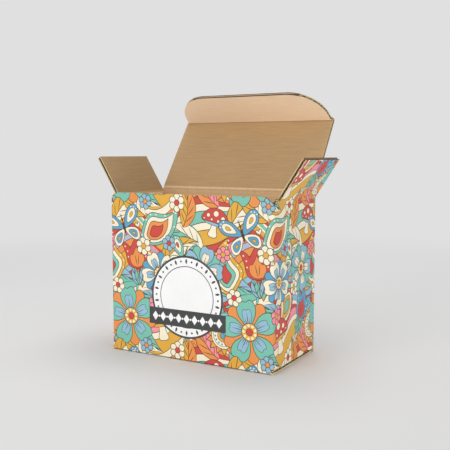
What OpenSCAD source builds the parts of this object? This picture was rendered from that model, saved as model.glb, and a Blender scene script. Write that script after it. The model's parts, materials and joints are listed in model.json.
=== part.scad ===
// Corrugated mailer box with tuck ends, standing open at the top.
// The origin is the middle of the base, on the surface that the box stands on.
// +X runs to the right along the front panel, +Y to the back panel, +Z up.

/* [Box] */
// Outside width across the front panel
body_w = 158; // [130:1:220]
// Outside depth from the front panel to the back panel
body_d = 82; // [74:1:110]
// Outside height with the lid shut
body_h = 141.7; // [115:0.1:180]
// Height of the front panel's raw top edge below the shut lid's outer face
front_drop = 2.8; // [1:0.1:3.2]
// Length along the front panel of the relief at its two top corners
relief_w = 8; // [4:0.5:12]
// Radius of the four upright corners, outside
corner_r = 2.6; // [1.5:0.1:2.8]

/* [Board] */
// Thickness of the corrugated board
board = 3; // [2.8:0.1:3.4]
// Thickness of each flat liner
liner = 0.45; // [0.3:0.05:0.6]
// Thickness of the wavy medium between the liners
medium = 0.5; // [0.3:0.05:0.7]
// Distance from one flute to the next
flute_pitch = 6.6; // [5.5:0.1:8]
// Board crushed flat beside each crease
crush = 1.6; // [1:0.1:3]

/* [Lid] */
// Distance from the lid's side edges in to the outside of the side panels
lid_inset = 1.4; // [0.8:0.1:2.2]
// Length of a tuck flap from its crease to its free edge
tuck_len = 37.2; // [30:0.1:42]
// Radius of the tuck flaps' two free corners
tuck_r = 32; // [10:0.5:32.5]
// Length of the shoulder where a tuck flap narrows beside its crease
shoulder_len = 3.4; // [2.5:0.1:4]

/* [Dust flaps] */
// Length of a dust flap from its crease to its free edge
dust_len = 40; // [25:0.5:48]
// Distance of the dust flaps' creases below the lid's crease
dust_drop = 5.4; // [4.6:0.1:7]
// Setback of a dust flap's front edge behind the front panel, clear of the tuck
dust_setback = 6.2; // [6.2:0.1:9]
// Setback of a bottom dust flap's back edge, clear of the bottom tuck as it slides out
bottom_setback = 10; // [10:0.5:14]

/* [Glue flap] */
// Width of the glue flap inside the right panel
glue_w = 30; // [20:1:36]
// Height over which the glue flap's two ends are cut away at its fold
glue_taper = 20; // [19:0.5:24]

/* [Rest pose] */
// Lean of the open lid behind upright
lid_lean = 35.4; // [20:0.1:50]
// Bend of the tuck flap from the lid's plane
tuck_bend = 87; // [85:0.5:90]
// Lean of the right dust flap outside upright
right_lean = 33.5; // [30:0.5:50]
// Lean of the left dust flap outside upright
left_lean = 31.8; // [30:0.1:50]

/* [Clearances] */
// Gap between a flap and the panel that it slides behind
slip = 0.3; // [0.2:0.05:0.5]
// Gap between a crease's round and the panel beside it
crease_gap = 0.2; // [0.1:0.05:0.3]

/* [Hidden] */
$fn = 48;
// Reach of a cutting shape past what it cuts
past = 5;
// Reach of the cut that clears a tuck flap's root from its lid
root_reach = 8 * board;
// Half sizes of the box, outside and inside
out_x = body_w / 2;
out_y = body_d / 2;
in_x = out_x - board;
in_y = out_y - board;
// Middle of the board of each panel, where the creases lie
mid_x = out_x - board / 2;
mid_y = out_y - board / 2;
// Heights of the top creases and of the panels' top edges
lid_z = body_h - board / 2;
dust_z = lid_z - dust_drop;
back_top = lid_z - board / 2 - crease_gap;
side_top = dust_z - board / 2 - crease_gap;
front_top = body_h - front_drop;
// Heights of the bottom crease and of the folds above it
bottom_z = board / 2;
front_foot = board + crease_gap;
side_foot = board + slip;
// Distance from a lid's crease to its tuck flap's crease
lid_span = 2 * mid_y - board - slip;
// Half widths of the lid and of its tuck flap, which has an ease beyond the slip
lid_half = out_x - lid_inset;
tuck_ease = 2 * board / 15;
tuck_half = in_x - slip - tuck_ease;
// Distance from a tuck flap's crease to the foot of its shoulder
shoulder_foot = board / 4;
// Outside radius of the bottom dust flaps' folds
fold_r = 0.9 * board;
// Sharpest angle between each lid and its tuck flap over their travel
top_fold = 70.5;
bottom_fold = 35;
// Swing of the medium's wave, and half the length of each hollow beside it
wave = board / 2 - liner - medium / 2;
hollow = 0.36 * flute_pitch;
wave_steps = 8;
// Facets of a full turn at the tuck flaps' large round corners
corner_facets = 96;
// Depth of the groove that the cut flutes leave along a raw edge
edge_groove = 1.4;

// Hollow between the medium and one liner, centred at u; side is 1 by the outer liner
function hollow_points(u, side) = [
    for (i = [0 : wave_steps])
        let (x = hollow * (2 * i / wave_steps - 1))
        [u + x, side * (medium / 2 - wave * cos(360 * x / flute_pitch))]
];

// Section of a board from its crease at u = 0 to its free edge, with the flutes end on
module flute_section(len, start) {
    count = floor((len - start - hollow) / (flute_pitch / 2));
    difference() {
        translate([0, -board / 2])
            square([len, board]);
        for (k = [0 : count])
            polygon(hollow_points(len - k * flute_pitch / 2, k % 2 == 0 ? 1 : -1));
    }
}

// Section of a board with a full round at its crease
module creased_section(len) {
    flute_section(len, crush);
    circle(d = board);
}

// Section of a tuck flap, seated on the lid's round end and cut back from the lid's inner face
module tuck_section(len, fold) {
    seat = board / 2 + crease_gap;
    difference() {
        flute_section(len, 2 * crush + seat / sin(fold));
        circle(r = seat);
        rotate(90 - fold)
            translate([seat - root_reach, -root_reach])
                square(root_reach);
    }
}

// Stands a section up: it rises along +Z, its outer liner faces +Y and its crease lies along X
module upright(width) {
    rotate([0, -90, 0])
        linear_extrude(height = width, center = true)
            children();
}

// Plate in the XZ plane, thick enough to trim an upright board
module trim() {
    rotate([90, 0, 0])
        linear_extrude(height = 2 * board, center = true)
            children();
}

module lid_board() {
    upright(2 * lid_half) {
        creased_section(lid_span - board / 2);
        translate([lid_span - board, -board / 2])
            square([board, board]);
        translate([lid_span, 0])
            circle(d = board);
    }
}

// Outline of a tuck flap: from its half width at the crease to two large round corners
module tuck_outline(base_half) {
    difference() {
        translate([-base_half, -past])
            square([2 * base_half, tuck_len + past]);
        for (side = [0, 1])
            mirror([side, 0]) {
                polygon([
                    [lid_half + past, shoulder_foot], [base_half, shoulder_foot],
                    [tuck_half, shoulder_foot + shoulder_len],
                    [tuck_half, tuck_len + past], [lid_half + past, tuck_len + past]
                ]);
                translate([tuck_half - tuck_r, tuck_len - tuck_r])
                    corner_waste(tuck_r);
            }
    }
}

// Waste outside a round corner; the round's centre is at the origin
module corner_waste(r) {
    difference() {
        square([r + past, r + past]);
        circle(r = r, $fn = corner_facets);
    }
}

module tuck_board(fold, base_half) {
    intersection() {
        upright(2 * lid_half)
            tuck_section(tuck_len, fold);
        trim()
            tuck_outline(base_half);
    }
}

// Outline of a dust flap; front and back are the setbacks of its two side edges
module dust_outline(front, back) {
    neck = mid_x - tuck_half - slip;
    difference() {
        translate([slip - in_y, -past])
            square([2 * (in_y - slip), dust_len + past]);
        if (front > slip)
            translate([in_y - front, neck])
                square([front, dust_len]);
        if (back > slip)
            translate([-in_y, neck])
                square([back, dust_len]);
    }
}

// Upright dust flap whose front edge lies at +X
module dust_board(front, back) {
    intersection() {
        upright(body_d)
            creased_section(dust_len);
        trim()
            dust_outline(front, back);
    }
}

// Outline of the walls from above, with round outside corners
module wall_outline() {
    difference() {
        union() {
            square([body_w, body_d - 2 * corner_r], center = true);
            square([body_w - 2 * corner_r, body_d], center = true);
            for (x = [-1, 1], y = [-1, 1])
                translate([x * (out_x - corner_r), y * (out_y - corner_r)])
                    circle(r = corner_r);
        }
        square([2 * in_x, 2 * in_y], center = true);
    }
}

// Cuts the tops and feet of the four walls to their own heights
module wall_ends() {
    high = max(back_top, front_top);
    for (side = [-1, 1]) {
        translate([side * (out_x + past - (board + past) / 2), 0, side_top + past])
            cube([board + past, 2 * in_y, 2 * past], center = true);
        translate([side * (out_x + past - (board + past) / 2), 0, side_foot - past])
            cube([board + past, 2 * in_y, 2 * past], center = true);
    }
    translate([0, out_y, back_top + past])
        cube([body_w + past, 2 * board, 2 * past], center = true);
    translate([0, -out_y, front_foot - past])
        cube([body_w + past, 2 * board, 2 * past], center = true);
    translate([0, past - in_y, 0])
        rotate([90, 0, 0])
            linear_extrude(height = board + 2 * past)
                front_relief(high);
}

// Slanted relief at the front panel's two top corners
module front_relief(high) {
    for (side = [-1, 1])
        polygon([
            [side * (out_x - relief_w), front_top], [side * out_x, side_top],
            [side * (out_x + past), side_top], [side * (out_x + past), high + past],
            [side * (out_x - relief_w), high + past]
        ]);
    translate([-out_x + relief_w, front_top])
        square([2 * (out_x - relief_w), high + past - front_top]);
}

// Grooves of the cut flutes along the front panel's top edge and the back panel's foot
module raw_edge_grooves() {
    depth = board - 2 * liner - medium;
    length = 2 * (in_x - relief_w);
    translate([0, -mid_y, front_top])
        cube([length, depth, 2 * edge_groove], center = true);
    translate([0, mid_y, 0])
        cube([length, depth, 2 * edge_groove], center = true);
}

// Glue flap: folded from the back panel and stuck inside the right panel, its ends cut slanting
module glue_flap() {
    foot = side_foot + board + slip;
    head = side_top - slip;
    translate([in_x - board, 0, 0])
        rotate([90, 0, 90])
            linear_extrude(height = board)
                polygon([
                    [in_y, foot + glue_taper + slip], [in_y, head - glue_taper],
                    [in_y - glue_taper, head], [in_y - glue_w, head],
                    [in_y - glue_w, foot], [in_y - glue_taper, foot]
                ]);
}

// Bottom dust flap folded in from the right panel, level, with a round fold
module bottom_dust_flap() {
    difference() {
        translate([mid_x, 0, side_foot + board / 2])
            rotate([0, 0, -90])
                rotate([90, 0, 0])
                    dust_board(slip, bottom_setback);
        translate([out_x, 0, side_foot])
            rotate([90, 0, 0])
                linear_extrude(height = body_d, center = true)
                    fold_waste();
    }
}

// Waste outside a round fold whose corner is at the origin
module fold_waste() {
    difference() {
        translate([-fold_r, -board])
            square([board + fold_r, board + fold_r]);
        translate([-fold_r, fold_r])
            circle(r = fold_r);
    }
}

module box_body() {
    color([0.83, 0.62, 0.36]) {
        difference() {
            linear_extrude(height = max(back_top, front_top))
                wall_outline();
            wall_ends();
            raw_edge_grooves();
        }
        glue_flap();
        bottom_dust_flap();
        mirror([1, 0, 0])
            bottom_dust_flap();
    }
}

// Places a child on the open lid's crease
module on_lid() {
    translate([0, mid_y, lid_z])
        rotate([-lid_lean, 0, 0])
            children();
}

// Places a child on the shut bottom lid's crease
module on_bottom_lid() {
    translate([0, -mid_y, bottom_z])
        rotate([-90, 0, 0])
            children();
}

module lid() {
    color([0.70, 0.57, 0.41])
        on_lid()
            lid_board();
}

module tuck_flap() {
    color([0.84, 0.70, 0.56])
        on_lid()
            translate([0, 0, lid_span])
                rotate([tuck_bend, 0, 0])
                    tuck_board(top_fold, lid_half);
}

module right_dust_flap() {
    color([0.50, 0.78, 0.70])
        translate([mid_x, 0, dust_z])
            rotate([0, 0, -90])
                rotate([-right_lean, 0, 0])
                    dust_board(dust_setback, slip);
}

module left_dust_flap() {
    color([0.62, 0.50, 0.36])
        translate([-mid_x, 0, dust_z])
            rotate([0, 0, 90])
                rotate([-left_lean, 0, 0])
                    mirror([1, 0, 0])
                        dust_board(dust_setback, slip);
}

module bottom_lid() {
    color([0.80, 0.60, 0.38])
        on_bottom_lid()
            lid_board();
}

module bottom_tuck() {
    color([0.76, 0.58, 0.38])
        on_bottom_lid()
            translate([0, 0, lid_span])
                rotate([90, 0, 0])
                    tuck_board(bottom_fold, tuck_half);
}

box_body();
lid();
tuck_flap();
right_dust_flap();
left_dust_flap();
bottom_lid();
bottom_tuck();
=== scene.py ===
"""Looks of a printed corrugated mailer box that stands open, its tuck ends spread.

Every length is in millimetres until a mesh is made. The print is one flat artwork on the unfolded
blank: u runs along the walls and v up them, and each panel and flap shows its own part of it.
"""
import json
from functools import cache
from math import asin, atan2, cos, degrees, exp, hypot, pi, radians, sin, tan, tau

import bpy
import numpy as np
from mathutils import Matrix, Vector
from mathutils.geometry import delaunay_2d_cdt


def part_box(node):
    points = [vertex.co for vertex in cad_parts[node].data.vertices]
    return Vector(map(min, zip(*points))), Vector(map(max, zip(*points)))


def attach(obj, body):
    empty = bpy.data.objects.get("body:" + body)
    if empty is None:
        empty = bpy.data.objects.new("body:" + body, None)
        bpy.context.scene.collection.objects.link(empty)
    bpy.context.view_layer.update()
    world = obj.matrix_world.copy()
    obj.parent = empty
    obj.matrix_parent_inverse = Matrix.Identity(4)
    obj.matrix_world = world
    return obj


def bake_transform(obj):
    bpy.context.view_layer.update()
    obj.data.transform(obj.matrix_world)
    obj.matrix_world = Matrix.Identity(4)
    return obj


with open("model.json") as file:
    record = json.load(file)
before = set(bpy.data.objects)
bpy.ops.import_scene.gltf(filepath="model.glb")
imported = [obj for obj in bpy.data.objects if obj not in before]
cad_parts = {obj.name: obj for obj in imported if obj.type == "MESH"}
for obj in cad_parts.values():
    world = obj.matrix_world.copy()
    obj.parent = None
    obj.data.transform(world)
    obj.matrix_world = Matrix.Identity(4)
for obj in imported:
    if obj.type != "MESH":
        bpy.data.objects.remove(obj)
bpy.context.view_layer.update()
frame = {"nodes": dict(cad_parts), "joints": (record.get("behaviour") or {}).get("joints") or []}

MM = 0.001

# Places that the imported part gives
CREASE = {joint["name"]: Vector(joint["pos_m"]) / MM for joint in frame["joints"]}


def top_of(node):
    """Highest corner of a node's box, in millimetres."""
    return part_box(node)[1] / MM


OUT_X = top_of("box_body").x
OUT_Y = top_of("box_body").y
HALF = OUT_X - CREASE["right_dust_crease"].x
IN_Y = OUT_Y - 2 * HALF
FRONT_TOP = top_of("box_body").z
LID_HALF = top_of("lid").x

# Sizes of the board and its cuts, as in the part
LINER = 0.45
CREASE_GAP = 0.2
CORNER_R = 2.6
RELIEF_W = 8.0
FRONT_FOOT = 3.2
SIDE_FOOT = 3.3
SLIP = 0.3
TUCK_HALF = 75.3
TUCK_LEN = 37.2
TUCK_R = 32.0
SHOULDER_FOOT = 0.75
SHOULDER_LEN = 3.4
TUCK_BEND = 87.0
DUST_LEN = 40.0
DUST_SETBACK = 6.2
NECK = 1.9
RIGHT_LEAN = 33.5
LEFT_LEAN = 31.8
SIDE_TOP = CREASE["right_dust_crease"].z - HALF - CREASE_GAP
BACK_TOP = CREASE["lid_crease"].z - HALF - CREASE_GAP

# Height of the ink over the board
SKIN = 0.08
# Depth to which the edge of each print is turned down into the board
TURN_IN = 0.12

# Inks, as sRGB
INKS = {
    "cream": (1.0, 0.96, 0.85),
    "gold": (0.92, 0.70, 0.27),
    "orange": (0.95, 0.60, 0.32),
    "red": (0.84, 0.30, 0.27),
    "pink": (1.0, 0.60, 0.65),
    "teal": (0.50, 0.79, 0.71),
    "sky": (0.60, 0.77, 0.85),
    "blue": (0.38, 0.66, 0.80),
    "lavender": (0.72, 0.75, 0.82),
    "line": (0.30, 0.20, 0.13),
    "white": (1.0, 1.0, 1.0),
    "slate": (0.27, 0.28, 0.28),
}


def linear(colour):
    """sRGB to linear RGBA."""
    return tuple(c / 12.92 if c <= 0.04045 else ((c + 0.055) / 1.055) ** 2.4 for c in colour) + (1.0,)


# Artwork: the tile that repeats over the blank, and the width of its drawn lines
TILE_W = 116.0
TILE_H = 124.0
LINE = 0.52
MEDIUM_LINE = 0.8 * LINE
THIN_LINE = 0.7 * LINE
FINE_LINE = 0.6 * LINE


def place(points, at=(0, 0), turn=0.0, size=1.0):
    """Points scaled, then turned by degrees, then moved."""
    c, s = cos(radians(turn)), sin(radians(turn))
    return [(at[0] + size * (x * c - y * s), at[1] + size * (x * s + y * c)) for x, y in points]


def rectangle(x0, y0, x1, y1):
    """Corners of a rectangle, in turn."""
    return [(x0, y0), (x1, y0), (x1, y1), (x0, y1)]


def disc(radius, steps=None):
    """Circle about the origin, with more points when it is larger."""
    steps = steps or max(8, int(8 + 1.4 * radius))
    return [(radius * cos(tau * i / steps), radius * sin(tau * i / steps)) for i in range(steps)]


def blade(length, width, belly=1.0, base=1.0, tip=1.0, bend=0.0, steps=12):
    """Leaf or petal from (0, 0) along +Y. belly moves the widest place, base and tip sharpen the ends."""
    right, left = [], []
    for i in range(steps + 1):
        t = (1 - cos(pi * i / steps)) / 2
        wide = max(0.0, sin(pi * t ** belly)) ** (base + (tip - base) * t) * width / 2
        a = radians(bend) * t
        if abs(bend) > 0.1:
            r = length / radians(bend)
            x, y = r * (1 - cos(a)), r * sin(a)
        else:
            x, y = 0.0, length * t
        right.append((x + wide * cos(a), y - wide * sin(a)))
        left.append((x - wide * cos(a), y + wide * sin(a)))
    return right + left[-2:0:-1]


def lobe(radius, spread, notch=0.0, fullness=0.35, steps=18):
    """Petal as a polar curve about the flower's middle, along +Y, with a notch at its tip."""
    points = [(0.0, 0.0)]
    for i in range(1, steps):
        a = spread * (i / steps - 0.5)
        r = radius * cos(pi * a / spread) ** fullness
        r *= 1 - notch * exp(-((a / (spread * 0.12)) ** 2))
        points.append((r * sin(radians(a)), r * cos(radians(a))))
    return points[::-1]


def inset(points, d):
    """The outline moved inwards by d; corners are mitred up to a limit."""
    n = len(points)
    area = sum(points[i - 1][0] * points[i][1] - points[i][0] * points[i - 1][1] for i in range(n))
    side = 1 if area > 0 else -1
    out = []
    for i in range(n):
        (x0, y0), (x1, y1), (x2, y2) = points[i - 1], points[i], points[(i + 1) % n]
        ax, ay, bx, by = x1 - x0, y1 - y0, x2 - x1, y2 - y1
        la, lb = hypot(ax, ay) or 1, hypot(bx, by) or 1
        nx, ny = -ay / la - by / lb, ax / la + bx / lb
        ln = hypot(nx, ny) or 1
        nx, ny = nx / ln, ny / ln
        grow = 1 / max(0.45, nx * -ay / la + ny * ax / la)
        out.append((x1 + side * nx * d * grow, y1 + side * ny * d * grow))
    return out


class Sheet:
    """Painter's list of coloured outlines."""

    def __init__(self):
        self.shapes = []

    def fill(self, ink, points):
        """Adds a plain shape over what is there."""
        self.shapes.append((ink, points))

    def drawn(self, ink, points, line=LINE):
        """Adds a shape with a drawn outline of the line ink."""
        self.fill("line", points)
        self.fill(ink, inset(points, line))


def blossom(sheet, at, radius, turn, inks, petals=5):
    """Large flower: notched petals with an inner petal and veins, over a second ring of petals."""
    outer, inner, heart, under = inks
    spread = 360 / petals
    for k in range(petals):
        a = turn + spread * (k + 0.5)
        sheet.drawn(under, place(lobe(radius * 0.93, spread * 0.9, 0, 0.6), at, a))
    for k in range(petals):
        a = turn + spread * k
        sheet.drawn(outer, place(lobe(radius, spread * 0.97, 0.13), at, a))
        sheet.drawn(inner, place(lobe(radius * 0.72, spread * 0.66, 0.12), at, a), THIN_LINE)
        for v in (-0.15, 0, 0.15):
            sheet.fill("line", place(blade(radius * (0.58 - abs(v)), 0.6), at, a + spread * v))
    sheet.drawn("gold", place(disc(radius * 0.27), at))
    for k in range(9):
        spot = place([(0, radius * 0.19)], at, turn + 40 * k)[0]
        sheet.fill("cream", place(disc(radius * 0.045, 8), spot))
    sheet.drawn(heart, place(disc(radius * 0.115), at), MEDIUM_LINE)


def medallion(sheet, at, radius, turn, inks, rays=14):
    """Sun disc: pointed rays about rings and a circle of beads."""
    ray, ray2, ring, core = inks
    for k in range(rays):
        a = turn + 360 * k / rays
        ink = ray if k % 2 else ray2
        sheet.drawn(ink, place(blade(radius, radius * 0.36, 1.3, 1, 1.3, steps=8), at, a))
    sheet.drawn(ring, place(disc(radius * 0.66), at))
    sheet.drawn("cream", place(disc(radius * 0.54), at), THIN_LINE)
    for k in range(rays):
        spot = place([(0, radius * 0.43)], at, turn + 360 * (k + 0.5) / rays)[0]
        sheet.fill(core, place(disc(radius * 0.055, 8), spot))
    sheet.drawn("gold", place(disc(radius * 0.32), at), THIN_LINE)
    sheet.drawn(core, place(disc(radius * 0.17), at), THIN_LINE)


def paisley(sheet, at, length, turn, bend, inks):
    """Bent drops in one another, scaled about the round head."""
    head = (0.0, length * 0.3)
    shape = blade(length, length * 0.62, 0.5, 0.5, 1.25, bend, steps=16)
    shape = [(x - head[0], y - head[1]) for x, y in shape]
    for ink, size in zip(inks, (1.0, 0.8, 0.58, 0.36)):
        sheet.drawn(ink, place(shape, at, turn, size))
    for k in range(len(shape)):
        if k % 3 == 1:
            spot = place([shape[k]], at, turn, 0.9)[0]
            sheet.fill("cream", place(disc(length * 0.016, 7), spot))


def path(start, *segments, steps=6):
    """Points along quadratic curves, each given by its control point and its end."""
    points = [start]
    for (cx, cy), (x1, y1) in segments:
        x0, y0 = points[-1]
        for k in range(1, steps + 1):
            t = k / steps
            a, b, c = (1 - t) ** 2, 2 * t * (1 - t), t * t
            points.append((a * x0 + b * cx + c * x1, a * y0 + b * cy + c * y1))
    return points


def mirrored(half):
    """Closed outline from its right half, which starts and ends on the middle line."""
    return half + [(-x, y) for x, y in half[-2:0:-1]]


def shrunk(points, share):
    """The outline made smaller about the mean of its points."""
    x0 = sum(p[0] for p in points) / len(points)
    y0 = sum(p[1] for p in points) / len(points)
    return [(x0 + (x - x0) * share, y0 + (y - y0) * share) for x, y in points]


def bell(sheet, at, size, turn, inks):
    """Cup-shaped flower with three pointed tips, a darker heart, veins, a stem and two leaves."""
    outer, inner, leaf = inks
    sheet.drawn("teal", place(blade(size * 1.1, size * 0.09, 1, 0.3, 0.3, 20), at, turn + 176), FINE_LINE)
    for s in (-1, 1):
        foot = place([(s * size * 0.03, -size * 0.55)], at, turn)[0]
        big_leaf(sheet, foot, size * 0.75, turn - s * 34, -s * 50, (leaf, "teal"), 3)
    cup = mirrored(path(
        (0, 0), ((0.44, 0.0), (0.45, 0.36)), ((0.46, 0.66), (0.66, 0.98)),
        ((0.36, 0.95), (0.25, 0.74)), ((0.13, 0.92), (0, 1.12)),
    ))
    heart_cup = mirrored(path(
        (0, 0.05), ((0.30, 0.06), (0.31, 0.36)), ((0.30, 0.56), (0.18, 0.5)), ((0.08, 0.6), (0, 0.8)),
    ))
    sheet.drawn(outer, place(cup, at, turn, size))
    sheet.drawn(inner, place(heart_cup, at, turn, size), THIN_LINE)
    for lean in (-19, 19):
        vein = place(blade(size * 0.42, 0.6), (0, size * 0.1))
        sheet.fill("line", place(vein, at, turn + lean * 0.5))
    for x, y in ((0.37, 0.42), (-0.37, 0.42), (0.38, 0.62), (-0.38, 0.62), (0.47, 0.79), (-0.47, 0.79)):
        sheet.fill("cream", place(disc(size * 0.028, 8), place([(x * size, y * size)], at, turn)[0]))


def mushroom(sheet, at, size, turn, inks):
    """Mushroom with a spotted cap, its gills and a swelling stem."""
    cap, gills = inks
    stem = mirrored(path(
        (0, -0.16), ((0.26, -0.16), (0.22, 0.02)), ((0.11, 0.25), (0.15, 0.5)), ((0.1, 0.52), (0, 0.52)),
    ))
    under = mirrored(path((0, 0.34), ((0.4, 0.33), (0.6, 0.46)), ((0.4, 0.56), (0, 0.58))))
    top = mirrored(path(
        (0, 0.46), ((0.4, 0.44), (0.6, 0.44)), ((0.72, 0.52), (0.62, 0.68)), ((0.4, 1.08), (0, 1.08)),
    ))
    sheet.drawn("cream", place(stem, at, turn, size))
    sheet.drawn(gills, place(under, at, turn, size), MEDIUM_LINE)
    sheet.drawn(cap, place(top, at, turn, size))
    for x, y, r in (
        (-0.02, 0.84, 0.13), (-0.36, 0.70, 0.09), (0.33, 0.72, 0.10), (-0.17, 0.57, 0.06),
        (0.14, 0.57, 0.07), (0.5, 0.55, 0.05), (-0.52, 0.53, 0.05),
    ):
        spot = place([(x * size, y * size)], at, turn)[0]
        sheet.drawn("cream", place(disc(r * size, 14), spot), FINE_LINE)


def butterfly(sheet, at, size, turn, inks):
    """Butterfly from above: four wings with a panel and a spot each, feelers and a body."""
    wing, panel, spot_ink = inks
    upper = path(
        (0.02, 0.12), ((0.2, 0.7), (0.62, 0.8)), ((0.96, 0.8), (0.84, 0.42)), ((0.74, 0.1), (0.05, -0.02)),
    )
    lower = path(
        (0.03, 0.02), ((0.5, 0.02), (0.64, -0.22)), ((0.7, -0.62), (0.42, -0.6)),
        ((0.2, -0.52), (0.02, -0.12)),
    )
    for s in (-1, 1):
        for outline, ink, inner in ((lower, panel, wing), (upper, wing, panel)):
            shape = [(s * x, y) for x, y in outline]
            sheet.drawn(ink, place(shape, at, turn, size))
            sheet.drawn(inner, place(shrunk(shape, 0.62), at, turn, size), THIN_LINE)
            sheet.drawn(spot_ink, place(shrunk(shape, 0.26), at, turn, size), FINE_LINE)
        for x, y in ((0.60, 0.71), (0.72, 0.66), (0.79, 0.56), (0.45, -0.53), (0.55, -0.47)):
            spot = place([(s * x * size, y * size)], at, turn)[0]
            sheet.fill("cream", place(disc(size * 0.03, 8), spot))
        head = place([(0, size * 0.25)], at, turn)[0]
        sheet.fill("line", place(blade(size * 0.4, 0.7, bend=-s * 40), head, turn - s * 12))
    tail = place([(0, -size * 0.3)], at, turn)[0]
    sheet.fill("line", place(blade(size * 0.62, size * 0.1), tail, turn))


def small_blossom(sheet, at, radius, turn, inks):
    """Six round petals about a disc."""
    petal, core = inks
    for k in range(6):
        spot = place([(0, radius * 0.6)], at, turn + 60 * k)[0]
        sheet.drawn(petal, place(disc(radius * 0.4, 14), spot))
    sheet.drawn(core, place(disc(radius * 0.34, 14), at), MEDIUM_LINE)


def heart(sheet, at, size, turn, ink):
    """Small heart."""
    points = []
    for i in range(22):
        a = tau * i / 22
        x = 16 * sin(a) ** 3
        y = 13 * cos(a) - 5 * cos(2 * a) - 2 * cos(3 * a) - cos(4 * a)
        points.append((x * size / 32, y * size / 32))
    sheet.drawn(ink, place(points, at, turn))


def big_leaf(sheet, at, length, turn, bend, inks, pairs=5, wide=0.4):
    """Broad leaf in two halves with herringbone veins."""
    light, dark = inks
    whole = blade(length, length * wide, 0.8, 0.8, 1.2, bend, steps=18)
    sheet.drawn(light, place(whole, at, turn))
    n = len(whole) // 2
    rib = [((whole[i][0] + whole[-i][0]) / 2, (whole[i][1] + whole[-i][1]) / 2) for i in range(n + 1)]
    side = [(x + (mx - x) * 0.1, y + (my - y) * 0.1) for (x, y), (mx, my) in zip(whole[1:n], rib[1:n])]
    sheet.fill(dark, place(side + rib[n:0:-1], at, turn))
    for k in range(1, pairs + 1):
        i = 2 + k * (n - 4) // (pairs + 1)
        j = min(n - 1, i + 3)
        x0, y0 = rib[i]
        for edge in (whole[j], whole[-j]):
            x1 = rib[j][0] + (edge[0] - rib[j][0]) * 0.82
            y1 = rib[j][1] + (edge[1] - rib[j][1]) * 0.82
            way = degrees(atan2(x0 - x1, y1 - y0))
            vein = place(blade(hypot(x1 - x0, y1 - y0), 0.65, steps=5), (x0, y0), way)
            sheet.fill("line", place(vein, at, turn))
    spine = [(x + 0.3 * s, y) for s, line in ((1, rib), (-1, rib[::-1])) for x, y in line]
    sheet.fill("line", place(spine, at, turn))


# Bands of the ground from the tile's foot up: ink and share of the tile's height
GROUND = (
    ("red", 4), ("orange", 4), ("cream", 5), ("gold", 9), ("cream", 4), ("pink", 6), ("red", 3),
    ("cream", 4), ("sky", 9), ("cream", 5), ("teal", 7), ("red", 3), ("sky", 4), ("gold", 10),
    ("orange", 5), ("lavender", 4), ("pink", 6), ("red", 4), ("gold", 8), ("cream", 4), ("teal", 6),
    ("cream", 4),
)


def ground(s):
    """Bands that flow across the whole tile."""
    scale = TILE_H / sum(width for _, width in GROUND)
    level = 0.0
    for ink, width in GROUND:
        low = ground_edge(level)
        level += width * scale
        high = ground_edge(level)
        rim = ground_edge(level - MEDIUM_LINE)
        s.fill("line", low + high[::-1])
        s.fill(ink, low + rim[::-1])


def ground_edge(level):
    """Waved line across the tile at a height, which meets itself in the next tile."""
    steps = 44
    out = []
    for i in range(steps + 1):
        a = tau * i / steps
        y = level + 10.5 * sin(a + tau * level / TILE_H) + 3.6 * sin(2 * a + 1.3)
        out.append((TILE_W * i / steps, y))
    return out


# Leaves: where each is rooted, its length, turn and bend, and the inks of its two halves
LEAVES = (
    ((58, 30), 46, 62, -50, ("teal", "sky")), ((58, 30), 44, -70, 46, ("sky", "gold")),
    ((54, 30), 42, 150, -50, ("sky", "teal")), ((60, 28), 40, -150, -46, ("teal", "cream")),
    ((14, 92), 44, 30, -70, ("teal", "cream")), ((10, 88), 42, 120, 60, ("sky", "teal")),
    ((92, 76), 46, -20, 70, ("gold", "cream")), ((96, 70), 40, -150, 56, ("teal", "sky")),
    ((100, 30), 44, 20, -70, ("teal", "sky")), ((22, 62), 44, -60, 60, ("sky", "teal")),
    ((40, 112), 46, -20, 60, ("gold", "cream")), ((74, 120), 44, 60, 60, ("gold", "cream")),
    ((4, 20), 42, -100, -60, ("gold", "orange")), ((70, 58), 40, -34, -60, ("gold", "cream")),
    ((30, 6), 40, 60, 60, ("orange", "pink")), ((112, 112), 38, -30, -60, ("gold", "orange")),
)


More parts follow.
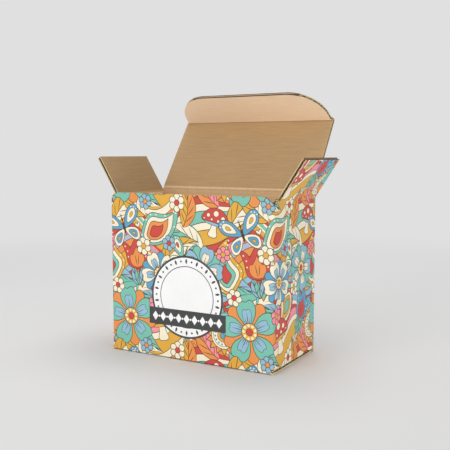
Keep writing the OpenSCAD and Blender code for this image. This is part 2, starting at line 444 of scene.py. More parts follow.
def pattern():
    """Shapes of one tile, from the ground up."""
    s = Sheet()
    ground(s)
    for at, length, turn, bend, inks in LEAVES:
        big_leaf(s, at, length, turn, bend, inks, 6, 0.42)
    paisley(s, (36, 74), 46, 60, 95, ("gold", "cream", "teal", "red"))
    paisley(s, (84, 106), 46, -110, -95, ("teal", "cream", "orange", "red"))
    paisley(s, (104, 52), 40, -165, 95, ("red", "cream", "gold", "teal"))
    bell(s, (66, 74), 25, 6, ("red", "orange", "sky"))
    bell(s, (12, 36), 24, -24, ("blue", "red", "teal"))
    mushroom(s, (92, 18), 24, 12, ("red", "gold"))
    mushroom(s, (24, 108), 20, -14, ("red", "sky"))
    butterfly(s, (52, 108), 22, 20, ("blue", "cream", "gold"))
    butterfly(s, (112, 86), 19, -24, ("teal", "cream", "red"))
    medallion(s, (34, 26), 17, 5, ("gold", "orange", "cream", "blue"))
    blossom(s, (58, 32), 28, 10, ("teal", "sky", "red", "orange"))
    blossom(s, (14, 78), 22, -20, ("sky", "cream", "red", "teal"))
    blossom(s, (88, 72), 20, 30, ("cream", "sky", "gold", "blue"))
    for at, radius, turn, inks in (
        ((72, 94), 8, 10, ("cream", "gold")), ((106, 8), 8, 0, ("cream", "red")),
        ((44, 58), 7.5, 20, ("cream", "red")), ((84, 46), 7.5, 8, ("pink", "gold")),
        ((34, 92), 7, 0, ("pink", "gold")), ((116, 64), 7, 0, ("cream", "gold")),
        ((74, 8), 7, 12, ("sky", "orange")), ((98, 98), 7, 12, ("sky", "red")),
    ):
        small_blossom(s, at, radius, turn, inks)
    for at, turn, ink in (((82, 58), 10, "red"), ((36, 48), -30, "red"), ((66, 112), 20, "cream")):
        heart(s, at, 6, turn, ink)
    return s.shapes


# The label on the front panel: a disc with rings of beads and a bar with lozenges
LABEL_AT = (-1.0, 53.9)
LABEL_R = 34.8
RIM_W = 1.7
INNER_R = LABEL_R * 0.75
INNER_RIM_W = 0.7
BEADS = 36
BEAD_RING_R = LABEL_R * 0.865
BEAD_R = 0.9
GRAIN_LEN = 4.6
GRAIN_W = 2.0
BAR_W = 75.0
BAR_H = 14.4
BAR_DROP = 18.4
LOZENGES = 9
LOZENGE_PITCH = 7.8
LOZENGE_W = 5.8
LOZENGE_H = 8.0


def label(sheet):
    """Disc with a rim, beads and grains in turn, an inner ring, and the bar with its lozenges."""
    x, y = LABEL_AT
    sheet.fill("slate", place(disc(LABEL_R, 72), LABEL_AT))
    sheet.fill("white", place(disc(LABEL_R - RIM_W, 72), LABEL_AT))
    for k in range(BEADS):
        turn = 360 * k / BEADS
        spot = place([(0, BEAD_RING_R)], LABEL_AT, turn)[0]
        if k % 2:
            sheet.fill("slate", place(disc(BEAD_R, 8), spot))
        else:
            foot = place([(0, -GRAIN_LEN / 2)], spot, turn)[0]
            sheet.fill("slate", place(blade(GRAIN_LEN, GRAIN_W, 1, 1, 1, steps=6), foot, turn))
    sheet.fill("slate", place(disc(INNER_R, 64), LABEL_AT))
    sheet.fill("white", place(disc(INNER_R - INNER_RIM_W, 64), LABEL_AT))
    low = y - BAR_DROP - BAR_H / 2
    sheet.fill("slate", place(rectangle(-BAR_W / 2, low, BAR_W / 2, low + BAR_H), (x, 0)))
    w, h = LOZENGE_W / 2, LOZENGE_H / 2
    for k in range(LOZENGES):
        spot = (x + (k - (LOZENGES - 1) / 2) * LOZENGE_PITCH, low + BAR_H / 2)
        sheet.fill("white", place([(0, -h), (w, 0), (0, h), (-w, 0)], spot))
        if k:
            sheet.fill("white", place(disc(BEAD_R, 8), (spot[0] - LOZENGE_PITCH / 2, spot[1])))


# Boards
UP = Vector((0, 0, 1))
BACKWARD = Vector((0, 1, 0))
FORWARD = Vector((0, -1, 0))
RIGHT = Vector((1, 0, 0))
LEFT = Vector((-1, 0, 0))


class Board:
    """A flap that leans from upright by an angle, towards a level direction.

    along runs from its crease, out faces its outer side, and u_mid and v_crease place it on the blank.
    """

    def __init__(self, body, crease, lean, towards, u_mid, v_crease=None):
        self.body = body
        self.crease = CREASE[crease]
        a = radians(lean)
        self.along = (towards * sin(a) + UP * cos(a)).normalized()
        self.out = (towards * cos(a) - UP * sin(a)).normalized()
        self.across = self.along.cross(self.out)
        self.u_mid = u_mid
        self.v_crease = self.crease.z if v_crease is None else v_crease

    def outer(self, u, v):
        """Point and normal of the outer face's ink at a point of the blank."""
        side = self.across * (u - self.u_mid) + self.along * (v - self.v_crease)
        return self.crease + side + self.out * (HALF + SKIN), self.out


# Middles of the side panels and of the back panel along the blank
U_SIDE = OUT_X + OUT_Y
U_BACK = -2 * OUT_X - 2 * OUT_Y
lid_way = CREASE["tuck_crease"] - CREASE["lid_crease"]
LID_SPAN = lid_way.length
LID_LEAN = degrees(asin(lid_way.normalized().y))
# Length of print that goes round the lid's end to the tuck flap
FOLD_LEN = 2.3

lid = Board("lid", "lid_crease", LID_LEAN, BACKWARD, U_BACK)
v_tuck = lid.v_crease + LID_SPAN + FOLD_LEN
tuck = Board("tuck_flap", "tuck_crease", LID_LEAN - TUCK_BEND, BACKWARD, U_BACK, v_tuck)
right_flap = Board("right_dust_flap", "right_dust_crease", RIGHT_LEAN, RIGHT, U_SIDE)
left_flap = Board("left_dust_flap", "left_dust_crease", LEFT_LEAN, LEFT, -U_SIDE)

# The four walls in the blank's order: start along u, first corner, way, outer side and width
WALLS = [
    (-3 * OUT_X - 2 * OUT_Y, Vector((OUT_X, OUT_Y, 0)), LEFT, BACKWARD, 2 * OUT_X),
    (-OUT_X - 2 * OUT_Y, Vector((-OUT_X, OUT_Y, 0)), FORWARD, LEFT, 2 * OUT_Y),
    (-OUT_X, Vector((-OUT_X, -OUT_Y, 0)), RIGHT, FORWARD, 2 * OUT_X),
    (OUT_X, Vector((OUT_X, -OUT_Y, 0)), BACKWARD, RIGHT, 2 * OUT_Y),
]


def wall_outer(u, v):
    """Point and normal of the walls' ink at a point of the blank, with the four corners rounded."""
    start, corner, way, out, length = next(w for w in WALLS if u <= w[0] + w[4] or w is WALLS[-1])
    d = u - start
    if d < CORNER_R:
        turn = -radians(45) * (1 - d / CORNER_R)
        centre = corner + (way - out) * CORNER_R
    elif d > length - CORNER_R:
        turn = radians(45) * (1 - (length - d) / CORNER_R)
        centre = corner + way * (length - CORNER_R) - out * CORNER_R
    else:
        turn = 0.0
        centre = corner + way * d - out * CORNER_R
    normal = out * cos(turn) + way * sin(turn)
    return centre + normal * (CORNER_R + SKIN) + Vector((0, 0, v)), normal


# Print
def near(points, low, high):
    """Whether an outline's box reaches into another box."""
    xs = [p[0] for p in points]
    ys = [p[1] for p in points]
    return max(xs) > low[0] and min(xs) < high[0] and max(ys) > low[1] and min(ys) < high[1]


ARTWORK = pattern()
LABEL = Sheet()
label(LABEL)


def artwork_in(low, high):
    """Each shape of the repeat, in every copy that reaches into a box of the blank."""
    columns = range(int(low[0] // TILE_W) - 1, int(high[0] // TILE_W) + 2)
    rows = range(int(low[1] // TILE_H) - 1, int(high[1] // TILE_H) + 2)
    for ink, points in ARTWORK:
        for i in columns:
            for j in rows:
                copy = [(x + i * TILE_W, y + j * TILE_H) for x, y in points]
                if near(copy, low, high):
                    yield ink, copy
    for ink, points in LABEL.shapes:
        if near(points, low, high):
            yield ink, points


def covers(outline, spots):
    """Which spots an outline winds round."""
    low, high = np.min(outline, axis=0), np.max(outline, axis=0)
    near_it = np.flatnonzero(((spots > low) & (spots < high)).all(axis=1))
    x, y = spots[near_it].T
    turns = np.zeros(len(near_it), int)
    for (x0, y0), (x1, y1) in zip(outline, outline[1:] + outline[:1]):
        side = (x1 - x0) * (y - y0) - (x - x0) * (y1 - y0)
        turns += (y0 <= y) & (y1 > y) & (side > 0)
        turns -= (y0 > y) & (y1 <= y) & (side < 0)
    return near_it[turns != 0]


def printed(name, outline, outer, cuts=(), painted_shade=None):
    """Mesh of the artwork inside an outline of the blank, each triangle in the ink that lies on top.

    outer gives the point and normal for a point of the blank. cuts are lines along which it bends.
    The last argument gives the share of an ink's brightness that is left at a height of the blank, as
    painted shade.
    """
    low = (min(p[0] for p in outline), min(p[1] for p in outline))
    high = (max(p[0] for p in outline), max(p[1] for p in outline))
    shapes = [("line", outline)] + list(artwork_in(low, high))
    flat, edges = [], []
    for _, points in shapes:
        first = len(flat)
        flat.extend(Vector(p) for p in points)
        edges += [(first + k, first + (k + 1) % len(points)) for k in range(len(points))]
    for line in cuts:
        edges.append((len(flat), len(flat) + 1))
        flat.extend(Vector(p) for p in line)
    spots, _, triangles, *_ = delaunay_2d_cdt(flat, edges, [], 0, 1e-4, False)
    spots = np.array([tuple(p) for p in spots])
    middles = spots[np.array(triangles)].mean(axis=1)
    top = np.full(len(triangles), -1)
    for k, (_, points) in enumerate(shapes):
        top[covers(points, middles)] = k
    ours = set(covers(outline, middles))
    kept = [(t, top[k], middles[k][1]) for k, t in enumerate(triangles) if k in ours]
    used = sorted({i for t, *_ in kept for i in t})
    place_of = {i: k for k, i in enumerate(used)}
    points, normals = zip(*(outer(*spots[i]) for i in used))
    tris = [tuple(place_of[i] for i in t) for t, *_ in kept]
    inks = [linear(INKS[shapes[k][0]])[:3] for _, k, _ in kept]
    if painted_shade:
        inks = [tuple(c * painted_shade(v) for c in ink) for ink, (_, _, v) in zip(inks, kept)]
    return printed_mesh(name, list(points), list(normals), tris, inks)


def printed_mesh(name, points, normals, tris, inks):
    """Mesh object with its inks in the attribute named ink, and its rim turned down into the board."""
    a, b, c = (points[i] for i in tris[0])
    if (b - a).cross(c - a).dot(normals[tris[0][0]]) < 0:
        tris = [t[::-1] for t in tris]
    owner = {}
    for k, t in enumerate(tris):
        for i in range(3):
            owner[(t[i], t[(i + 1) % 3])] = k
    lowered = {}
    for (i, j), k in list(owner.items()):
        if (j, i) in owner:
            continue
        for n in (i, j):
            if n not in lowered:
                lowered[n] = len(points)
                points.append(points[n] - normals[n] * TURN_IN)
                normals.append(normals[n])
        tris += [(j, i, lowered[i]), (j, lowered[i], lowered[j])]
        inks += [inks[k]] * 2
    mesh = bpy.data.meshes.new(name)
    mesh.from_pydata([p * MM for p in points], [], tris)
    colours = mesh.color_attributes.new("ink", "FLOAT_COLOR", "CORNER")
    values = [c for ink in inks for c in (*ink, 1.0) * 3]
    colours.data.foreach_set("color", values)
    mesh.polygons.foreach_set("use_smooth", [True] * len(tris))
    mesh.normals_split_custom_set_from_vertices(normals)
    mesh.materials.append(print_material())
    return linked(name, mesh)


def linked(name, data):
    """New object of a mesh, a lamp or a camera, in the scene."""
    made = bpy.data.objects.new(name, data)
    bpy.context.scene.collection.objects.link(made)
    return made


# Materials
def new_material(name):
    """Material with no nodes yet."""
    made = bpy.data.materials.new(name)
    made.use_nodes = True
    made.node_tree.nodes.clear()
    return made


class Nodes:
    """Short calls that add shader nodes to a material."""

    def __init__(self, material):
        self.tree = material.node_tree

    def add(self, kind, inputs=None, **settings):
        """Node of a kind; each input is a socket to link or a constant."""
        node = self.tree.nodes.new(kind)
        for key, value in settings.items():
            setattr(node, key, value)
        for key, value in (inputs or {}).items():
            if isinstance(value, bpy.types.NodeSocket):
                self.tree.links.new(value, node.inputs[key])
            else:
                node.inputs[key].default_value = value
        return node

    def math(self, operation, a, b=0.0):
        return self.add("ShaderNodeMath", {0: a, 1: b}, operation=operation).outputs[0]

    def dot(self, a, b):
        return self.add("ShaderNodeVectorMath", {0: a, 1: b}, operation="DOT_PRODUCT").outputs["Value"]

    def along(self, vector, direction, origin):
        """Distance of a point from an origin along a direction, in metres."""
        return self.math("SUBTRACT", self.dot(vector, direction), direction.dot(origin))

    def mix(self, factor, a, b):
        """Colour between a and b."""
        return self.add("ShaderNodeMix", {0: factor, 6: a, 7: b}, data_type="RGBA").outputs[2]

    def ramp(self, value, low, high, start=0.0, end=1.0):
        """Smooth step from start to end as a value goes from low to high."""
        node = self.add(
            "ShaderNodeMapRange",
            {"Value": value, "From Min": low, "From Max": high, "To Min": start, "To Max": end},
            interpolation_type="SMOOTHSTEP",
        )
        return node.outputs[0]

    def noise(self, vector, scale, detail, rough):
        return self.add(
            "ShaderNodeTexNoise", {"Vector": vector, "Scale": scale, "Detail": detail, "Roughness": rough}
        ).outputs["Fac"]

    def vector(self, x, y, z):
        return self.add("ShaderNodeCombineXYZ", {0: x, 1: y, 2: z}).outputs[0]

    def scaled(self, colour, share):
        return self.add("ShaderNodeVectorMath", {0: colour, 3: share}, operation="SCALE").outputs[0]

    def facing(self, normal, direction):
        """How squarely a surface faces along a direction, either way."""
        return self.math("ABSOLUTE", self.dot(normal, direction))

    def finish(self, colour, roughness, height, strength):
        """Principled surface with a fine bump, which ends the material."""
        bump = self.add("ShaderNodeBump", {"Height": height, "Strength": strength, "Distance": BUMP_HEIGHT})
        shader = self.add("ShaderNodeBsdfPrincipled", {
            "Base Color": colour, "Roughness": roughness,
            "Specular IOR Level": SPECULAR, "Normal": bump.outputs[0],
        })
        self.add("ShaderNodeOutputMaterial", {0: shader.outputs[0]})


# Surfaces: their bumps' height in metres, strength on print and on kraft, and the specular level
BUMP_HEIGHT = 0.0002
PRINT_BUMP = 0.12
KRAFT_BUMP = 0.25
SPECULAR = 0.3
# Noise of the print: features per metre of the paper's fibres and of the faint mottling
PRINT_FIBRES = 900.0
PRINT_MOTTLE = 45.0


@cache
def print_material():
    """Flat inks on kraft board under a soft varnish: paper fibres, faint mottling, and a fine bump."""
    material = new_material("flat_inks")
    n = Nodes(material)
    place_at = n.add("ShaderNodeTexCoord").outputs["Object"]
    ink = n.add("ShaderNodeVertexColor", layer_name="ink").outputs["Color"]
    fibres = n.noise(place_at, PRINT_FIBRES, 4.0, 0.7)
    mottle = n.noise(place_at, PRINT_MOTTLE, 3.0, 0.6)
    fibre_shade = n.ramp(fibres, 0.25, 0.75, 0.93, 1.02)
    colour = n.scaled(ink, n.math("MULTIPLY", fibre_shade, n.ramp(mottle, 0.3, 0.7, 0.97, 1.01)))
    roughness = n.ramp(mottle, 0.3, 0.7, 0.42, 0.54)
    n.finish(colour, roughness, fibres, PRINT_BUMP)
    return material


# Kraft liners, as sRGB: the flaps, the left flap darker as painted shade, the walls and the tuck flap
# lighter as painted light, a painted highlight on a crease's round, and painted shade in its score
KRAFT = (0.795, 0.66, 0.485)
# Painted shade: the left flap's kraft is darker than the other flaps'
SHADED_KRAFT = (0.712, 0.595, 0.44)
# Painted light: lighter than the flaps' kraft, so the inner back wall looks lit
WALL_KRAFT_PAINTED_LIGHT = (0.945, 0.825, 0.655)
# Painted light: lighter than the lid's kraft, for light on the tuck flap's underside
TUCK_KRAFT_PAINTED_LIGHT = (0.975, 0.87, 0.745)
# Painted highlight along the round of each open flap's inner crease
CREASE_PAINTED_HIGHLIGHT = (1.0, 0.88, 0.72)
# Painted shade in the score below each open flap's crease
SCORE_PAINTED_SHADE = (0.90, 0.77, 0.60)
# Raw edges: the liners' and the medium's ends, and the edges that run beside the flutes; the core between
# the liners is near-black painted shade of the flute hollows
LINER_END = (0.90, 0.84, 0.66)
MEDIUM_END = (0.52, 0.42, 0.26)
FREE_END = (0.34, 0.26, 0.16)
CORE_PAINTED_SHADE = (0.17, 0.12, 0.06)

# Noise of the kraft: features per metre along the crease and away from it, of the faint cloud,
# and of a crease's fibres
STREAKS = (34.0, 760.0)
FINE_FIBRES = (120.0, 1700.0)
FLECKS = (70.0, 1100.0)
CLOUD = 22.0
CREASE_FIBRES = 260.0
# Slice of that noise on the walls, and how much the fibres change a kraft's brightness
WALL_SLICE = 0.3
CONTRAST = 0.1
# Width over which a raw edge's tones meet, and distances from the crease where a side edge turns raw
BLUR = 0.1
RAW_FROM = 3.0
RAW_TO = 3.5


def kraft_face(n, place_at, beside, along, third, kraft, contrast):
    """Colour of a kraft liner: fibres that run beside the crease, light flecks and a faint cloud.

    beside and along are distances in metres along and from the crease. Returns the fibres and the
    roughness too.
    """
    def stretched(per_beside, per_along):
        return n.vector(n.math("MULTIPLY", beside, per_beside), n.math("MULTIPLY", along, per_along), third)

    streaks = n.noise(stretched(*STREAKS), 1.0, 4.0, 0.65)
    fine = n.noise(stretched(*FINE_FIBRES), 1.0, 3.0, 0.6)
    flecks = n.noise(stretched(*FLECKS), 1.0, 2.0, 0.5)
    cloud = n.noise(place_at, CLOUD, 3.0, 0.6)
    shade = n.ramp(streaks, 0.25, 0.75, 1 - contrast, 1 + 0.6 * contrast)
    shade = n.math("MULTIPLY", shade, n.ramp(fine, 0.25, 0.75, 0.97, 1.03))
    shade = n.math("ADD", shade, n.ramp(flecks, 0.62, 0.72, 0.0, contrast))
    shade = n.math("MULTIPLY", shade, n.ramp(cloud, 0.3, 0.7, 0.98, 1.015))
    return n.scaled(linear(kraft)[:3], shade), streaks, n.ramp(cloud, 0.3, 0.7, 0.72, 0.86)


def board_material(name, crease, along, out, kraft=KRAFT, contrast=CONTRAST, pale_rim=LINER):
    """Kraft liner with long fibres beside the flutes, and raw edges where the normal lies in the board.

    pale_rim is the depth in mm to which a raw edge is pale on its outer side.
    """
    material = new_material(name)
    n = Nodes(material)
    coords = n.add("ShaderNodeTexCoord")
    place_at, normal = coords.outputs["Object"], coords.outputs["Normal"]
    across = along.cross(out)
    origin = crease * MM
    s = n.along(place_at, along, origin)
    w = n.along(place_at, across, origin)
    t = n.along(place_at, out, origin)
    face, streaks, rough = kraft_face(n, place_at, w, s, t, kraft, contrast)
    depth = n.math("ABSOLUTE", t)
    in_liner = n.ramp(depth, (HALF - LINER - BLUR) * MM, (HALF - LINER) * MM)
    in_rim = n.ramp(t, (HALF - pale_rim - BLUR) * MM, (HALF - pale_rim) * MM)
    in_liner = n.math("MAXIMUM", in_liner, in_rim)
    flute_end = n.ramp(n.facing(normal, across), 0.35, 0.45)
    cut = n.mix(in_liner, linear(MEDIUM_END), linear(LINER_END))
    # The core of an edge beside the flutes is painted shade of the flute hollows
    inside = n.mix(in_liner, linear(CORE_PAINTED_SHADE), linear(FREE_END))
    edge = n.mix(flute_end, inside, cut)
    beyond_crease = n.math("MAXIMUM", flute_end, n.ramp(s, RAW_FROM * MM, RAW_TO * MM))
    raw = n.math("MULTIPLY", n.ramp(n.facing(normal, out), 0.95, 0.85), beyond_crease)
    colour = n.mix(raw, face, edge)
    n.finish(colour, rough, streaks, KRAFT_BUMP)
    return material


def wall_material():
    """The same board on the four walls and the level bottom flaps, with raw top and bottom edges."""
    material = new_material("kraft_walls")
    n = Nodes(material)
    coords = n.add("ShaderNodeTexCoord")
    place_at, normal = coords.outputs["Object"], coords.outputs["Normal"]
    x, y, z = n.add("ShaderNodeSeparateXYZ", {0: place_at}).outputs
    upward = n.math("ABSOLUTE", n.add("ShaderNodeSeparateXYZ", {0: normal}).outputs[2])
    level = n.ramp(upward, 0.5, 0.6)
    upright = n.math("SUBTRACT", 1.0, level)
    beside = n.math("ADD", y, n.math("MULTIPLY", x, upright))
    along = n.math("ADD", n.math("MULTIPLY", z, upright), n.math("MULTIPLY", x, level))
    face, streaks, rough = kraft_face(n, place_at, beside, along, WALL_SLICE, WALL_KRAFT_PAINTED_LIGHT, CONTRAST)
    off_x = n.math("SUBTRACT", n.math("ABSOLUTE", x), (OUT_X - HALF) * MM)
    off_y = n.math("SUBTRACT", n.math("ABSOLUTE", y), (OUT_Y - HALF) * MM)
    depth = n.math("MINIMUM", n.math("ABSOLUTE", off_x), n.math("ABSOLUTE", off_y))
    in_liner = n.ramp(depth, (HALF - LINER - 2 * BLUR) * MM, (HALF - LINER - BLUR) * MM)
    # The core of the walls' raw edges is painted shade of the flute hollows
    edge = n.mix(in_liner, linear(CORE_PAINTED_SHADE), linear(LINER_END))
    in_wall = n.ramp(depth, (HALF + 3 * BLUR) * MM, (HALF + BLUR) * MM)
    raw = n.math("MULTIPLY", level, in_wall)
    colour = n.mix(raw, face, edge)
    n.finish(colour, rough, streaks, KRAFT_BUMP)
    return material


def dress(node, material):
    """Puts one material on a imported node."""
    made = frame["nodes"][node]
    if not made.material_slots:
        made.data.materials.append(material)
    for slot in made.material_slots:
        slot.material = material


# Prints on the walls, where the front and left ones reach a little round their corners
PAST_CORNER = 4.0


def corner_cuts(*corners):
    """Lines along which a print bends round upright corners."""
    steps = [u + CORNER_R * k / 4 for u in corners for k in range(-4, 5)]
    return [((s, 0), (s, FRONT_TOP)) for s in steps]


def front_outline():
    """Outline of the front panel's print, which reaches a little round both corners."""
    slope = (FRONT_TOP - SIDE_TOP) / RELIEF_W
    round_in = OUT_X - CORNER_R
    middle = round_in + CORNER_R * sin(radians(45))
    half = [
        (OUT_X - RELIEF_W, FRONT_TOP),
        (round_in, FRONT_TOP - slope * (RELIEF_W - CORNER_R)),
        (OUT_X, FRONT_TOP - slope * (middle - OUT_X + RELIEF_W)),
        (OUT_X + CORNER_R, SIDE_TOP),
        (OUT_X + PAST_CORNER, SIDE_TOP),
        (OUT_X + PAST_CORNER, SIDE_FOOT),
        (OUT_X + 2 * HALF, SIDE_FOOT),
        (OUT_X + 2 * HALF, FRONT_FOOT),
    ]
    return half + [(-u, v) for u, v in half[::-1]]


def side_outline(front_u, back_u, inner_u):
    """Outline of a side panel's print: full height only where it turns to the back panel."""
    return [
        (front_u, SIDE_FOOT), (inner_u, SIDE_FOOT), (inner_u, 0.0), (back_u, 0.0),
        (back_u, BACK_TOP), (inner_u, BACK_TOP), (inner_u, SIDE_TOP), (front_u, SIDE_TOP),
    ]


def wall_prints():
    """The four walls' prints."""
    near_corner = OUT_X + PAST_CORNER
    far = OUT_X + 2 * OUT_Y
    past_far = far + PAST_CORNER
    start = WALLS[0][0]
    for name, outline, cuts in (
        ("print_front", front_outline(), corner_cuts(OUT_X, -OUT_X)),
        ("print_right", side_outline(near_corner, far, far - 2 * HALF), corner_cuts(far)),
        ("print_left", side_outline(-near_corner, -past_far, 2 * HALF - far), corner_cuts(-far)),
        ("print_back", rectangle(start, 0, -past_far, BACK_TOP), corner_cuts(start)),
    ):
        made = printed(name, outline, wall_outer, cuts)
        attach(made, "box_body")


# Prints on the flaps
# Distance from the lid's crease at which its own print begins
LID_REACH = 2.0


def lid_print():
    """The lid's print, between the strips over its two creases."""
    u0, u1 = lid.u_mid - LID_HALF, lid.u_mid + LID_HALF
    v0, v1 = lid.v_crease + LID_REACH, lid.v_crease + LID_SPAN
    made = printed("print_lid", rectangle(u0, v0, u1, v1), lid.outer)
    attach(made, "lid")


def tuck_print():
    """The tuck flap's print, with its shoulders and two large round corners."""
    v = tuck.v_crease
    half = [(LID_HALF, SHOULDER_FOOT), (TUCK_HALF, SHOULDER_FOOT + SHOULDER_LEN)]
    steps = 24
    for k in range(steps + 1):
        a = radians(90) * k / steps
        half.append((TUCK_HALF - TUCK_R + TUCK_R * cos(a), TUCK_LEN - TUCK_R + TUCK_R * sin(a)))
    outline = [(tuck.u_mid + u, v + s) for u, s in half]
    outline += [(tuck.u_mid - u, v + s) for u, s in half[::-1]]
    made = printed("print_tuck", outline, tuck.outer)
    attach(made, "tuck_flap")


def dust_print(name, board, front):
    """A dust flap's print; front is 1 where its front edge lies at the higher u, else -1."""
    u0 = board.u_mid - front * (IN_Y - SLIP)
    u1 = board.u_mid + front * (IN_Y - DUST_SETBACK)
    v0, v1 = board.v_crease + NECK, board.v_crease + DUST_LEN
    made = printed(name, rectangle(u0, v0, u1, v1), board.outer)
    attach(made, board.body)


# Prints and liners across the creases
def fold_outer(profile, across, u_mid):
    """Point and normal on a fold whose profile is a list of (v, point, normal), v rising."""

    def outer(u, v):
        k = max(i for i in range(len(profile) - 1) if profile[i][0] <= v + 1e-6 or i == 0)
        (v0, p0, n0), (v1, p1, n1) = profile[k], profile[k + 1]
        share = min(1.0, max(0.0, (v - v0) / (v1 - v0)))
        return p0.lerp(p1, share) + across * (u - u_mid), n0.lerp(n1, share).normalized()

    return outer


def fold_print(name, profile, board, half):
    """Print over a crease, made in place from its profile's rows."""
    u0, u1 = board.u_mid - half, board.u_mid + half
    rows = [p[0] for p in profile]
    outline = rectangle(u0, rows[0], u1, rows[-1])
    cuts = [((u0, v), (u1, v)) for v in rows[1:-1]]
    made = printed(name, outline, fold_outer(profile, board.across, board.u_mid), cuts)
    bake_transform(made)


def concave_profile(board, panel_out, foot, reach):
    """From a panel's top edge to an open flap, where the two outer faces meet in a line."""
    lift = HALF + SKIN
    lean = board.along.angle(UP)
    meet = lift * tan(lean / 2)
    steps = 4
    rows = []
    for k in range(steps + 1):
        h = foot + (-meet - foot) * k / steps
        v = foot - foot * k / steps
        rows.append((board.v_crease + v, board.crease + panel_out * lift + UP * h, panel_out))
    for k in range(1, steps + 1):
        s = meet + (reach - meet) * k / steps
        point = board.crease + board.out * lift + board.along * s
        rows.append((board.v_crease + reach * k / steps, point, board.out))
    return rows


# The open flaps: name, board, their panel's outer side, half their crease, and reach of its print
OPEN_FLAPS = (
    ("lid", lid, BACKWARD, LID_HALF, LID_REACH),
    ("right", right_flap, RIGHT, IN_Y - SLIP, NECK),
    ("left", left_flap, LEFT, IN_Y - SLIP, NECK),
)


def crease_prints():
    """The strips of print over the open flaps' creases."""
    for name, board, panel_out, half, reach in OPEN_FLAPS:
        rows = concave_profile(board, panel_out, -HALF - CREASE_GAP, reach)
        fold_print("crease_" + name, rows, board, half)


@cache
def crease_material():
    """Kraft liner over a crease, with painted shade in its score and a painted highlight on its round; its
    tones run across the crease in the attribute named tone.
    """
    material = new_material("kraft_crease")
    n = Nodes(material)
    place_at = n.add("ShaderNodeTexCoord").outputs["Object"]
    tone = n.add("ShaderNodeVertexColor", layer_name="tone").outputs["Color"]
    fibres = n.noise(place_at, CREASE_FIBRES, 4.0, 0.7)
    colour = n.scaled(tone, n.ramp(fibres, 0.25, 0.75, 0.9, 1.06))
    rough = n.ramp(fibres, 0.3, 0.7, 0.7, 0.85)
    n.finish(colour, rough, fibres, KRAFT_BUMP)
    return material


# A crease's inner liner: its start and its score on the panel below the crease, and its rows on the flap
LINER_FOOT = -4.2
SCORE_TOP = -1.3
SCORE_DEPTH = 0.16
CREASE_SKIN = 0.12
FLAP_ROWS = (0.5, 1.0, 2.6)


def crease_liner(name, board, panel_in, half):
    """Inner liner across an open flap's crease: off the panel, over a shallow score, round to the flap."""
    proud = HALF + SKIN
    # Tones across the crease: the walls' painted light, painted shade in the score, a painted highlight
    # round the crease, then the flaps' kraft
    on_panel = [
        (proud, LINER_FOOT, WALL_KRAFT_PAINTED_LIGHT),
        (proud, SCORE_TOP - 1.0, WALL_KRAFT_PAINTED_LIGHT),
        (proud - SCORE_DEPTH / 4, SCORE_TOP - 0.6, SCORE_PAINTED_SHADE),
        (proud - SCORE_DEPTH, SCORE_TOP, SCORE_PAINTED_SHADE),
    ]
    rows = [(board.crease + panel_in * inward + UP * height, tone) for inward, height, tone in on_panel]
    inner = -board.out
    steps = 4
    for k in range(steps + 1):
        normal = panel_in.lerp(inner, k / steps).normalized()
        rows.append((board.crease + normal * (HALF + CREASE_SKIN), CREASE_PAINTED_HIGHLIGHT))
    for along in FLAP_ROWS:
        rows.append((board.crease + inner * proud + board.along * along, KRAFT))
    points, tones = [], []
    for point, tone in rows:
        for side in (-half, half):
            points.append(point + board.across * side)
            tones.append(tone)
    quads = [(2 * k, 2 * k + 1, 2 * k + 3, 2 * k + 2) for k in range(len(rows) - 1)]
    mesh = bpy.data.meshes.new(name)
    mesh.from_pydata([p * MM for p in points], [], quads)
    colours = mesh.color_attributes.new("tone", "FLOAT_COLOR", "POINT")
    colours.data.foreach_set("color", [c for tone in tones for c in linear(tone)])
    mesh.polygons.foreach_set("use_smooth", [True] * len(quads))
    mesh.materials.append(crease_material())
    made = linked(name, mesh)
    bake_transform(made)


def crease_liners():
    """The inner liners across the open flaps' creases."""
    for name, board, panel_out, half, _ in OPEN_FLAPS:
        crease_liner("liner_" + name, board, -panel_out, half)


def tuck_crease_print():
    """Round the lid's end to the tuck flap."""
    lift = HALF + SKIN
    steps = 10
    rows = []
    for k in range(steps + 1):
        a = radians(TUCK_BEND) * k / steps
        normal = lid.out * cos(a) + lid.along * sin(a)
        v = lid.v_crease + LID_SPAN + FOLD_LEN * k / steps
        rows.append((v, tuck.crease + normal * lift, normal))
    last = tuck.crease + tuck.out * lift + tuck.along * SHOULDER_FOOT
    rows.append((tuck.v_crease + SHOULDER_FOOT, last, tuck.out))
    fold_print("crease_tuck", rows, lid, LID_HALF)


# Turn of the print round the bottom crease, and its dark line at the foot, painted shade where the box
# stands: share of the ink and top
FOOT_TURN = 65.0
FOOT_SHADE = 0.3
FOOT_LINE_TOP = 1.0


def front_foot_print():
    """From the front panel's foot round the bottom crease, down to where the box stands."""
    axis = CREASE["bottom_lid_crease"]
    lift = HALF + SKIN
    steps = 7
    rows = []
    for k in range(steps, -1, -1):
        a = radians(FOOT_TURN) * k / steps
        normal = FORWARD * cos(a) - UP * sin(a)
        rows.append((axis.z - lift * a, axis + normal * lift, normal))
    rows.append((FRONT_FOOT, axis + FORWARD * lift + Vector((0, 0, FRONT_FOOT - axis.z)), FORWARD))
    outline = rectangle(-LID_HALF, rows[0][0], LID_HALF, rows[-1][0])
    cuts = [((-LID_HALF, r[0]), (LID_HALF, r[0])) for r in rows[1:-1]]

    # Painted shade: a dark line along the foot of the bottom crease
    def painted_shade(v):
        return FOOT_SHADE if v < FOOT_LINE_TOP else 1.0

    made = printed("crease_foot", outline, fold_outer(rows, RIGHT, 0.0), cuts, painted_shade)
    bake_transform(made)


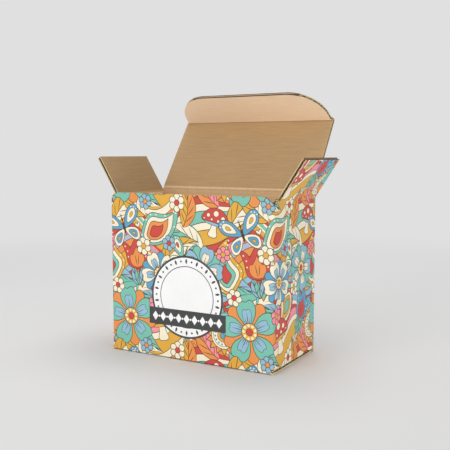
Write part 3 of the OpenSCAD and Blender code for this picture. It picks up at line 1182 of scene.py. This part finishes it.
# Stage
def camera():
    """The photograph's view, fitted to the box's corners."""
    yaw, pitch = -0.5201, 0.1007
    focal_px, frame_px, sensor = 713.6, 450.0, 36.0
    ahead = Vector((sin(yaw) * cos(pitch), cos(yaw) * cos(pitch), -sin(pitch)))
    side = Vector((cos(yaw), -sin(yaw), 0))
    up = side.cross(ahead)
    data = bpy.data.cameras.new("camera")
    data.sensor_width = sensor
    data.lens = focal_px / frame_px * sensor
    data.clip_start, data.clip_end = 0.01, 50.0
    made = linked("camera", data)
    place_at = Vector((315.22, -529.08, 172.76)) * MM
    made.matrix_world = Matrix.Translation(place_at) @ Matrix((side, up, -ahead)).transposed().to_4x4()
    bpy.context.scene.camera = made


BACKDROP = linear((0.879, 0.879, 0.879))
PAPER = linear((0.955, 0.955, 0.955))
# Floor in metres: its radius, and the distances between which it fades into the backdrop
FLOOR_R = 6.0
FADE = (0.35, 1.0)


def seeing_rays(n):
    """1 for the rays that see the backdrop's own colour: camera, glossy and transmission rays."""
    ray = n.add("ShaderNodeLightPath").outputs
    mirrored_rays = n.math("MAXIMUM", ray["Is Glossy Ray"], ray["Is Transmission Ray"])
    return n.math("MAXIMUM", ray["Is Camera Ray"], mirrored_rays)


def finish_mixed(n, share, first, second, output_kind):
    """Ends a material or a world with two shaders mixed by a share."""
    mixed = n.add("ShaderNodeMixShader", {0: share, 1: first.outputs[0], 2: second.outputs[0]})
    n.add(output_kind, {0: mixed.outputs[0]})


def floor():
    """Pale level floor that fades into the background's colour away from the box."""
    points = [(x, y, 0.0) for x, y in disc(FLOOR_R, 64)]
    mesh = bpy.data.meshes.new("floor")
    mesh.from_pydata(points, [], [tuple(range(len(points)))])
    material = new_material("floor")
    n = Nodes(material)
    place_at = n.add("ShaderNodeTexCoord").outputs["Object"]
    away = n.add("ShaderNodeVectorMath", {0: place_at}, operation="LENGTH").outputs["Value"]
    paper = n.add("ShaderNodeBsdfDiffuse", {"Color": PAPER})
    plain = n.add("ShaderNodeEmission", {"Color": BACKDROP, "Strength": 1.0})
    share = n.math("MULTIPLY", n.ramp(away, *FADE), seeing_rays(n))
    finish_mixed(n, share, paper, plain, "ShaderNodeOutputMaterial")
    mesh.materials.append(material)
    made = linked("floor", mesh)
    made.visible_shadow = False


def area_light(name, place_at, aim, size, power):
    """Round soft light; its place, aim and size are in metres and its power is in watts."""
    data = bpy.data.lights.new(name, "AREA")
    data.shape = "DISK"
    data.size = size
    data.energy = power
    made = linked(name, data)
    made.location = place_at
    made.rotation_euler = (Vector(aim) - Vector(place_at)).to_track_quat("-Z", "Y").to_euler()


# Strength of the even light from above the horizon, and how soft the horizon is
DOME = 0.52
HORIZON = 0.02


def lights():
    """Even light from above, and soft lamps: before, at the right, low before, over and behind."""
    world = bpy.data.worlds.new("world")
    bpy.context.scene.world = world
    world.use_nodes = True
    world.node_tree.nodes.clear()
    n = Nodes(world)
    way = n.add("ShaderNodeTexCoord").outputs["Generated"]
    height = n.add("ShaderNodeSeparateXYZ", {0: way}).outputs[2]
    strength = n.ramp(height, -HORIZON, HORIZON, 0.0, DOME)
    soft = n.add("ShaderNodeBackground", {"Color": (1, 1, 1, 1), "Strength": strength})
    plain = n.add("ShaderNodeBackground", {"Color": BACKDROP, "Strength": 1.0})
    finish_mixed(n, seeing_rays(n), soft, plain, "ShaderNodeOutputWorld")
    area_light("key", (-0.35, -1.20, 0.38), aim=(0, 0, 0.12), size=0.8, power=4.27)
    area_light("right", (1.25, -0.50, -0.25), aim=(0, 0, 0.10), size=0.5, power=4.5)
    area_light("bounce", (-0.20, -1.30, -0.45), aim=(0, -0.04, 0.15), size=0.6, power=1.42)
    area_light("over", (-0.02, 0.06, 1.30), aim=(-0.02, 0.04, 0.0), size=0.75, power=1.68)
    area_light("back", (-0.02, 0.45, 1.22), aim=(-0.02, 0.0, 0.0), size=0.7, power=2.81)


scene = bpy.context.scene
scene.view_settings.view_transform = "Standard"

dress("box_body", wall_material())
# The tuck flap's lighter kraft is painted light, and the left flap's darker kraft is painted shade
for board, name, kraft, contrast in (
    (lid, "kraft_lid", KRAFT, CONTRAST), (tuck, "kraft_tuck", TUCK_KRAFT_PAINTED_LIGHT, CONTRAST / 2),
    (right_flap, "kraft_right", KRAFT, CONTRAST), (left_flap, "kraft_left", SHADED_KRAFT, CONTRAST),
):
    dress(board.body, board_material(name, board.crease, board.along, board.out, kraft, contrast))
bottom_crease = CREASE["bottom_lid_crease"]
dress("bottom_lid", board_material("kraft_bottom", bottom_crease, BACKWARD, -UP, pale_rim=1.1))
dress("bottom_tuck", board_material("kraft_bottom_tuck", CREASE["bottom_tuck_crease"], UP, BACKWARD))
wall_prints()
lid_print()
tuck_print()
dust_print("print_right_flap", right_flap, -1)
dust_print("print_left_flap", left_flap, 1)
crease_prints()
crease_liners()
tuck_crease_print()
front_foot_print()
camera()
floor()
lights()
